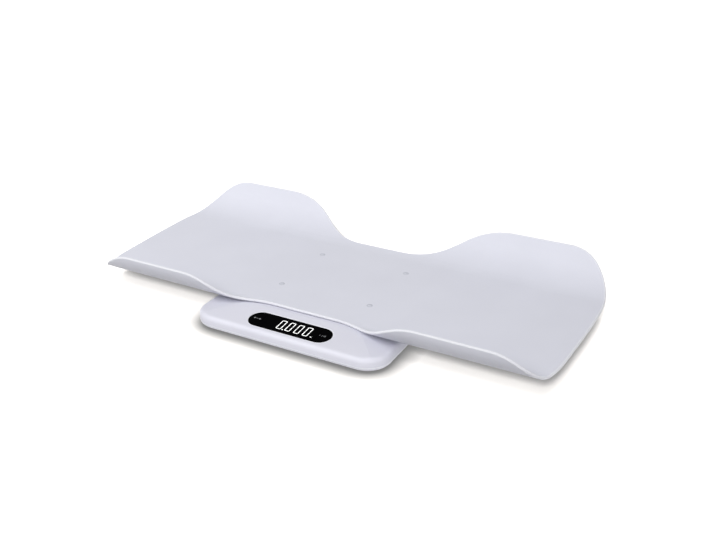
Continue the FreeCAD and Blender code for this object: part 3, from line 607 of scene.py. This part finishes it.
def lit_lamp():
    """White lamp: bright, with spots that are a trace cooler."""
    material, tree = new_material("white_display_lamp")
    where = add(tree, "TexCoord").outputs["Object"]
    spots = add(tree, "TexNoise", Vector=where, Scale=scale_for(LAMP_MM), Detail=1.0)
    glow = add(tree, "ValToRGB", Fac=spots.outputs["Fac"])
    cooler, brighter = glow.color_ramp.elements
    cooler.color, brighter.color = linear("E9EEF2"), WHITE
    shader = add(tree, "BsdfPrincipled", Base_Color=linear("F4F4F0"), Roughness=0.4,
                 Emission_Color=glow.outputs["Color"], Emission_Strength=LAMP_GLOW)
    add(tree, "OutputMaterial", Surface=shader.outputs[0])
    return material


white_lamp = lit_lamp()
for mark in display_marks:
    settle(mark, white_lamp, "base", "lens_black")
print("lamps:", len(display_marks))

# %% [markdown]
# ## Signs on the keys
# The keys carry plain screen-printed signs, which ride on the keys and sink with them. The right
# one has a bar, a slash and a ring for on and off, the left one two arrows for changing the unit.
# They are thin plates on the lens's face: a print has no thickness to speak of, but a plate keeps a
# sharp outline from any distance. The ring is one short bar, copied round a circle.

# %% Printed ink
DOT_MM = 0.3


def printed_grey():
    """Screen-printed grey ink: dull, with a faint dotted unevenness.

    The screen's real dots of 0.1 mm would not show, so they are drawn three times as coarse.
    """
    material, tree = new_material("screen_printed_grey")
    where = add(tree, "TexCoord").outputs["Object"]
    dots = add(tree, "TexVoronoi", Vector=where, Scale=scale_for(DOT_MM))
    tone = add(tree, "ValToRGB", Fac=dots.outputs["Distance"])
    full, thin = tone.color_ramp.elements
    full.color, thin.color = linear("A9ABAE"), linear("8F9194")
    shader = add(tree, "BsdfPrincipled", Base_Color=tone.outputs["Color"], Roughness=0.5)
    add(tree, "OutputMaterial", Surface=shader.outputs[0])
    return material


grey_print = printed_grey()
print("ink:", grey_print.name)

# %% Bar, slash and ring
PRINT_HEIGHT = 0.04 * MM
SIGN_STROKE = 0.38 * MM
SIGN_STEP = 2.9 * MM
RING_RADIUS = 0.95 * MM
RING_STEPS = 24
STROKE_LENGTH = 2.4 * RING_RADIUS
BAR_TURN = 90
SLASH_TURN = 65


def thin_bar(name, length, width):
    """A thin bar along X with its underside on z = 0 and softened edges."""
    bpy.ops.mesh.primitive_cube_add(size=1, location=(0, 0, PRINT_HEIGHT / 2))
    strip = named(name)
    strip.scale = (length, width, PRINT_HEIGHT)
    bpy.ops.object.transform_apply(location=True, rotation=True, scale=True)
    pick_vertices(strip, lambda co: abs(co.x) > length / 4)
    bpy.ops.mesh.bevel(offset=PRINT_HEIGHT / 3, segments=1)
    leave_edit()
    return strip


def power_sign(name):
    """On and off: an upright bar, a slash and a ring, side by side."""
    short = thin_bar("short", SIGN_STROKE, SIGN_STROKE)
    short.data.transform(Matrix.Translation((0, RING_RADIUS, 0)))
    pieces = [copy_of(short, "ring_part", Matrix.Translation((SIGN_STEP, 0, 0))
                      @ Matrix.Rotation(2 * math.pi * i / RING_STEPS, 4, "Z"))
              for i in range(RING_STEPS)]
    discard(short)
    for x, turn in ((-SIGN_STEP, BAR_TURN), (0, SLASH_TURN)):
        stroke = thin_bar("stroke", STROKE_LENGTH, SIGN_STROKE)
        stroke.data.transform(Matrix.Translation((x, 0, 0))
                              @ Matrix.Rotation(math.radians(turn), 4, "Z"))
        pieces.append(stroke)
    return join(pieces, name)


print("ring:", RING_STEPS, "short bars")

# %% Two arrows
ARROW_SIZE = 1.35 * MM
ARROW_STEP = 3.2 * MM


def unit_sign(name):
    """Two arrows that point away from each other, with a dash between them."""
    arrow = flat_plate("arrow", 3, ARROW_SIZE, PRINT_HEIGHT)
    arrow.data.transform(Matrix.Translation((ARROW_STEP, 0, 0))
                         @ Matrix.Rotation(-math.pi / 2, 4, "Z"))
    pieces = [copy_of(arrow, "arrow_part", Matrix.Rotation(turn, 4, "Z"))
              for turn in (0, math.pi)]
    discard(arrow)
    return join(pieces + [thin_bar("dash", ARROW_STEP, SIGN_STROKE)], name)


print("arrow tips:", round((ARROW_STEP + ARROW_SIZE) / MM, 2), "mm from the middle")

# %% Signs in place
POWER_SIGN_X = 39.0 * MM
UNIT_SIGN_X = -40.3 * MM

for make, key, x in ((power_sign, "power_key", POWER_SIGN_X), (unit_sign, "unit_key", UNIT_SIGN_X)):
    sign = make(key + "_sign")
    sign.data.transform(on_lens(x, 0))
    settle(sign, grey_print, key, "lens_black")
    print(sign.name, "on", key, [round(size / MM, 1) for size in sign.dimensions], "mm")

# %% [markdown]
# ## Sink marks over the pegs
# Four pegs grow out of the tray's underside. Above each, the thicker plastic shrinks more as it
# cools and leaves a shallow round sink mark. The CAD has the hollows, but their shade is painted:
# a thin lining, greyer than the tray, lies in each. A material on the tray can't easily tell four
# small rounds apart, so one lining is made: a disc is inset, its middle is drawn down, and Solidify
# gives it a wall. A copy goes into each hollow and rides with the tray.

# %% One lining
MARK_RADIUS = 3.3 * MM
HOLLOW_RADIUS = 2.3 * MM
MARK_DEPTH = 0.42 * MM
MARK_WALL = 0.02 * MM


def sink_mark():
    """A thin round dish with a flat rim on z = 0."""
    bpy.ops.mesh.primitive_circle_add(vertices=32, radius=MARK_RADIUS, fill_type="NGON")
    dish = named("sink_mark")
    pick_vertices(dish, lambda co: True)
    bpy.ops.mesh.inset(thickness=MARK_RADIUS - HOLLOW_RADIUS)
    bpy.ops.mesh.poke()
    leave_edit()
    pick_vertices(dish, lambda co: co.length < HOLLOW_RADIUS / 2)
    bpy.ops.transform.translate(value=(0, 0, -MARK_DEPTH))
    leave_edit()
    wall = dish.modifiers.new("wall", "SOLIDIFY")
    wall.thickness, wall.offset = MARK_WALL, 1.0
    bpy.ops.object.modifier_apply(modifier=wall.name)
    return dish


dish = sink_mark()
print("lining:", [round(size / MM, 2) for size in dish.dimensions], "mm")

# %% Four linings in the tray
PEG_X = 55.6 * MM
PEG_Y = 45.0 * MM
TRAY_FLOOR_Z = 23.5 * MM

linings = [copy_of(dish, "lining", Matrix.Translation((x, y, TRAY_FLOOR_Z)))
           for x in (-PEG_X, PEG_X) for y in (-PEG_Y, PEG_Y)]
discard(dish)
sink_marks = join(linings, "peg_sink_marks")
# White ABS, a little smoother, in a greyer colour that is painted shade of the shallow hollow.
painted_shade_abs = moulded_plastic("sink_mark_painted_shade", "B9BBC6", "B5B7C2", "BFC1CC",
                           grain_mm=0.7, depth_mm=0.03, roughness=0.4)
settle(sink_marks, painted_shade_abs, "tray", "tray_white")
print("sink marks:", len(sink_marks.data.polygons), "faces")

# %% [markdown]
# ## Screws with a cross recess
# Six housing screws sit deep in their wells and are driven from below. The CAD has plain heads, and
# a screw without a recess looks like a rivet. One screw is modelled: a short cylinder with a
# rounded lower edge, a cross cut into it by two thin blocks with a Boolean modifier, and a shank.
# It is copied to each place that the CAD node gives, each turned a little differently, as screws
# are when they are tight.

# %% Places of the screws
SCREW_HEAD_RADIUS = 3.0 * MM


def places_in(node, radius):
    """Lowest height of one node, and the middles in x and y of the like solids that reach it."""
    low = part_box(node)[0][2]
    groups = []
    for vertex in nodes[node].data.vertices:
        if vertex.co.z > low + radius / 4:
            continue
        flat = Vector((vertex.co.x, vertex.co.y))
        home = next((g for g in groups if (g[0] - flat).length < 4 * radius), None)
        if home:
            home.append(flat)
        else:
            groups.append([flat])
    middles = []
    for group in groups:
        xs, ys = [p.x for p in group], [p.y for p in group]
        middles.append(((min(xs) + max(xs)) / 2, (min(ys) + max(ys)) / 2))
    return low, middles


screw_low, screw_middles = places_in("housing_screws", SCREW_HEAD_RADIUS)
screw_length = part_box("housing_screws")[1][2] - screw_low
print(len(screw_middles), "screws of", round(screw_length / MM, 1), "mm")

# %% One screw
SCREW_HEAD_HEIGHT = 2.0 * MM
SCREW_HEAD_ROUND = 0.6 * MM
SCREW_SHANK_RADIUS = 1.5 * MM
SCREW_TIP_CUT = 0.5 * MM
RECESS_WIDTH = 0.75 * MM
RECESS_LENGTH = 3.4 * MM
RECESS_DEPTH = 1.1 * MM


def cut_recess(head, turn):
    """Cuts one slot of the cross into the underside of the head."""
    bpy.ops.mesh.primitive_cube_add(size=1)
    block = named("block")
    block.data.transform(Matrix.Rotation(math.radians(turn), 4, "Z") @ Matrix.Diagonal(
        (RECESS_LENGTH, RECESS_WIDTH, 2 * RECESS_DEPTH, 1)))
    only(head)
    cut = head.modifiers.new("recess", "BOOLEAN")
    cut.object, cut.operation, cut.solver = block, "DIFFERENCE", "EXACT"
    bpy.ops.object.modifier_apply(modifier=cut.name)
    discard(block)


def screw():
    """Pan-head screw with its head down, the lowest point on z = 0."""
    head = cylinder("screw", 48, SCREW_HEAD_RADIUS, SCREW_HEAD_HEIGHT)
    pick_vertices(head, lambda co: co.z < SCREW_HEAD_HEIGHT / 2)
    bpy.ops.mesh.bevel(offset=SCREW_HEAD_ROUND, segments=4)
    leave_edit()
    for turn in (0, 90):
        cut_recess(head, turn)
    shank = cylinder("shank", 32, SCREW_SHANK_RADIUS, screw_length - SCREW_HEAD_HEIGHT,
                     base=SCREW_HEAD_HEIGHT)
    pick_vertices(shank, lambda co: co.z > screw_length - SCREW_HEAD_HEIGHT / 2)
    bpy.ops.mesh.bevel(offset=SCREW_TIP_CUT, segments=1)
    leave_edit()
    return join([head, shank], "screw")


model_screw = screw()
print("one screw:", len(model_screw.data.polygons), "faces")

# %% Six screws in place
SCREW_TURN = 1.1  # radians
SMOOTH_BELOW = math.radians(30)

screws = [copy_of(model_screw, "screw_" + str(number), Matrix.Translation((x, y, screw_low))
                  @ Matrix.Rotation(number * SCREW_TURN, 4, "Z"))
          for number, (x, y) in enumerate(screw_middles, start=1)]
discard(model_screw)
cross_screws = join(screws, "cross_recess_screws")
only(cross_screws)
bpy.ops.object.shade_smooth_by_angle(angle=SMOOTH_BELOW)
settle(cross_screws, zinc_steel, "base", "screw_steel")
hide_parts("housing_screws")
print("screws:", len(cross_screws.data.polygons), "faces")

# %% [markdown]
# ## Floor
# The scale stands on a plain page. To the camera, and in reflections, the page is bright enough to
# read as white, and it glows a little so that its shadow never turns black. To the light that
# bounces, it is a middle grey, so that it doesn't light the scale from below. Close to what stands
# on it the page gets darker, as a contact shadow does: the ambient occlusion node measures how much
# of the space above a point is free.

# %% Page
FLOOR_REACH = 6.0
FLOOR_DROP = 0.2 * MM
CONTACT_REACH = 21.5 * MM
CONTACT_DEPTH = 3.0
PAGE_COLOUR = "C2BFBC"
BOUNCE_COLOUR = "787878"
SHADOW_LIFT = 0.22


def seen_directly(tree):
    """1 for what the camera sees straight, in a reflection or through glass, 0 for other light."""
    path = add(tree, "LightPath")
    first = add(tree, "Math", {"operation": "MAXIMUM"}, _0=path.outputs["Is Camera Ray"],
                _1=path.outputs["Is Glossy Ray"])
    return add(tree, "Math", {"operation": "MAXIMUM"}, _0=first.outputs[0],
               _1=path.outputs["Is Transmission Ray"]).outputs[0]


def page_floor():
    """White page that gets darker close to what stands on it, and gives little light back."""
    material, tree = new_material("white_page_floor")
    seen = seen_directly(tree)
    free = add(tree, "AmbientOcclusion", {"samples": 16}, Distance=CONTACT_REACH)
    contact = add(tree, "Math", {"operation": "POWER"}, _0=free.outputs["AO"], _1=CONTACT_DEPTH)
    page = add(tree, "MixRGB", Fac=contact.outputs[0], Color1=BLACK, Color2=linear(PAGE_COLOUR))
    colour = add(tree, "MixRGB", Fac=seen, Color1=linear(BOUNCE_COLOUR), Color2=page.outputs[0])
    lit = add(tree, "BsdfDiffuse", Color=colour.outputs[0])
    lift = add(tree, "Math", {"operation": "MULTIPLY"}, _0=seen, _1=SHADOW_LIFT)
    glow = add(tree, "Emission", Color=WHITE, Strength=lift.outputs[0])
    shader = add(tree, "AddShader", _0=lit.outputs[0], _1=glow.outputs[0])
    add(tree, "OutputMaterial", Surface=shader.outputs[0])
    return material


bpy.ops.mesh.primitive_plane_add(size=2 * FLOOR_REACH, location=(0, 0, -FLOOR_DROP))
floor = named("floor")
bpy.ops.object.transform_apply(location=True, rotation=True, scale=True)
give_finish(floor, page_floor())
print("floor", 2 * FLOOR_REACH, "m square")

# %% [markdown]
# ## Light
# The sky is a weak, even white that fills the shadows. The key lamp is a round softbox above, in
# front and on the left. It hangs near enough to make the left of the scale a shade brighter than
# the right, and the wings, which lean towards it, come out brighter than the tray's floor. Four
# helpers follow, as in a product studio:
# - the floor lamp and the back lamp light only the floor, one from the front and one from behind,
#   and leave a narrow shadow between them;
# - the base lamp lights only the two housings, and only they throw its shadow, so that the side of
#   the base shows under the tray;
# - the side lamp lights the rims on the right.
# The last two make no reflection, because a second highlight on the gloss would give them away.

# %% Sky
SKY_STRENGTH = 0.34


def sky():
    """White surroundings that give little light, but look white to the camera."""
    world = bpy.data.worlds.new("studio_sky")
    bpy.context.scene.world = world
    world.use_nodes = True
    tree = world.node_tree
    tree.nodes.clear()
    strength = add(tree, "MapRange", Value=seen_directly(tree), To_Min=SKY_STRENGTH, To_Max=1.0)
    page = add(tree, "Background", Color=WHITE, Strength=strength.outputs["Result"])
    add(tree, "OutputWorld", Surface=page.outputs[0])
    return world


print("sky:", sky().name, "at", SKY_STRENGTH)

# %% Aiming
def direction(azimuth, elevation):
    """From the object to an azimuth, 0 in front and 90 on the right, and elevation, in degrees."""
    a, e = math.radians(azimuth), math.radians(elevation)
    return Vector((math.sin(a) * math.cos(e), -math.cos(a) * math.cos(e), math.sin(e)))


def facing(azimuth, elevation):
    """Turn of a lamp or camera that looks from that direction at the object."""
    return direction(azimuth, elevation).to_track_quat("Z", "Y").to_euler()


def hang_lamp(name, kind, azimuth, elevation):
    """A lamp that shines from that direction."""
    lamp = bpy.data.objects.new(name, bpy.data.lights.new(name, kind))
    lamp.rotation_euler = facing(azimuth, elevation)
    bpy.context.collection.objects.link(lamp)
    return lamp


print("straight in front is", [round(c, 1) for c in direction(0, 0)])

# %% Key lamp
KEY_AZIMUTH = -30.0
KEY_ELEVATION = 49.0
KEY_STRENGTH = 2.2
KEY_DISTANCE = 3.0
KEY_SIZE = 2.8


def round_softbox(name, azimuth, elevation, strength, distance, size):
    """A round lamp of that size. Its strength is what reaches the middle of the object."""
    lamp = hang_lamp(name, "AREA", azimuth, elevation)
    lamp.data.shape, lamp.data.size = "DISK", size
    lamp.data.energy = strength * math.pi * (distance ** 2 + (size / 2) ** 2)
    lamp.location = direction(azimuth, elevation) * distance
    return lamp


key_lamp = round_softbox("key_lamp", KEY_AZIMUTH, KEY_ELEVATION, KEY_STRENGTH, KEY_DISTANCE,
                         KEY_SIZE)
print("key lamp:", round(key_lamp.data.energy), "W")

# %% Helper lamps
# Azimuth, elevation, strength and softness of each lamp. Its angles are in degrees.
HELPERS = {
    "floor_lamp": (9.0, 38.5, 6.0, 14.0),
    "back_lamp": (176.0, 50.0, 2.8, 40.0),
    "base_lamp": (64.0, -3.0, 0.9, 20.0),
    "side_lamp": (88.0, 6.0, 1.1, 40.0),
}


def soft_lamp(name, azimuth, elevation, strength, softness):
    """A lamp that is far away, and looks as wide as its softness."""
    lamp = hang_lamp(name, "SUN", azimuth, elevation)
    lamp.data.energy = strength
    lamp.data.angle = math.radians(softness)
    return lamp


helpers = {name: soft_lamp(name, *facts) for name, facts in HELPERS.items()}
print("helper lamps:", list(helpers))

# %% What each helper lights
def group_of(objects, name):
    """A collection that is only a list for light linking."""
    group = bpy.data.collections.new(name)
    for obj in objects:
        group.objects.link(obj)
    return group


def light_only(lamp, lit, shadows_from=None):
    """Lets a lamp light only some objects, and lets only the ones in shadows_from shade it."""
    lamp.light_linking.receiver_collection = group_of(lit, lamp.name + "_receivers")
    if shadows_from:
        lamp.light_linking.blocker_collection = group_of(shadows_from, lamp.name + "_blockers")


housings = [nodes["upper_housing"], nodes["lower_housing"]]
light_only(helpers["floor_lamp"], [floor])
light_only(helpers["back_lamp"], [floor])
light_only(helpers["base_lamp"], housings, shadows_from=housings)
for name in ("base_lamp", "side_lamp"):
    helpers[name].visible_glossy = False
print("lamps without a reflection:", [n for n, l in helpers.items() if not l.visible_glossy])

# %% [markdown]
# ## Camera
# The camera looks down from the front right, about a metre away, with a normal lens: the tray shows
# its curve, and the display can be read. The view transform stays Standard, so that colours show as
# they are written.

# %% Camera
CAMERA_AZIMUTH = 28.36
CAMERA_ELEVATION = 25.35
CAMERA_DISTANCE = 1.0672
CAMERA_AIM = Vector((-0.0211, 0.0708, 0.0))
FOCAL_LENGTH_MM = 43.82
SENSOR_WIDTH_MM = 36.0

camera = bpy.data.objects.new("camera", bpy.data.cameras.new("camera"))
bpy.context.collection.objects.link(camera)
camera.location = CAMERA_AIM + direction(CAMERA_AZIMUTH, CAMERA_ELEVATION) * CAMERA_DISTANCE
camera.rotation_euler = facing(CAMERA_AZIMUTH, CAMERA_ELEVATION)
camera.data.lens = FOCAL_LENGTH_MM
camera.data.sensor_width = SENSOR_WIDTH_MM
bpy.context.scene.camera = camera
bpy.context.scene.view_settings.view_transform = "Standard"
print("camera at", [round(c, 3) for c in camera.location])
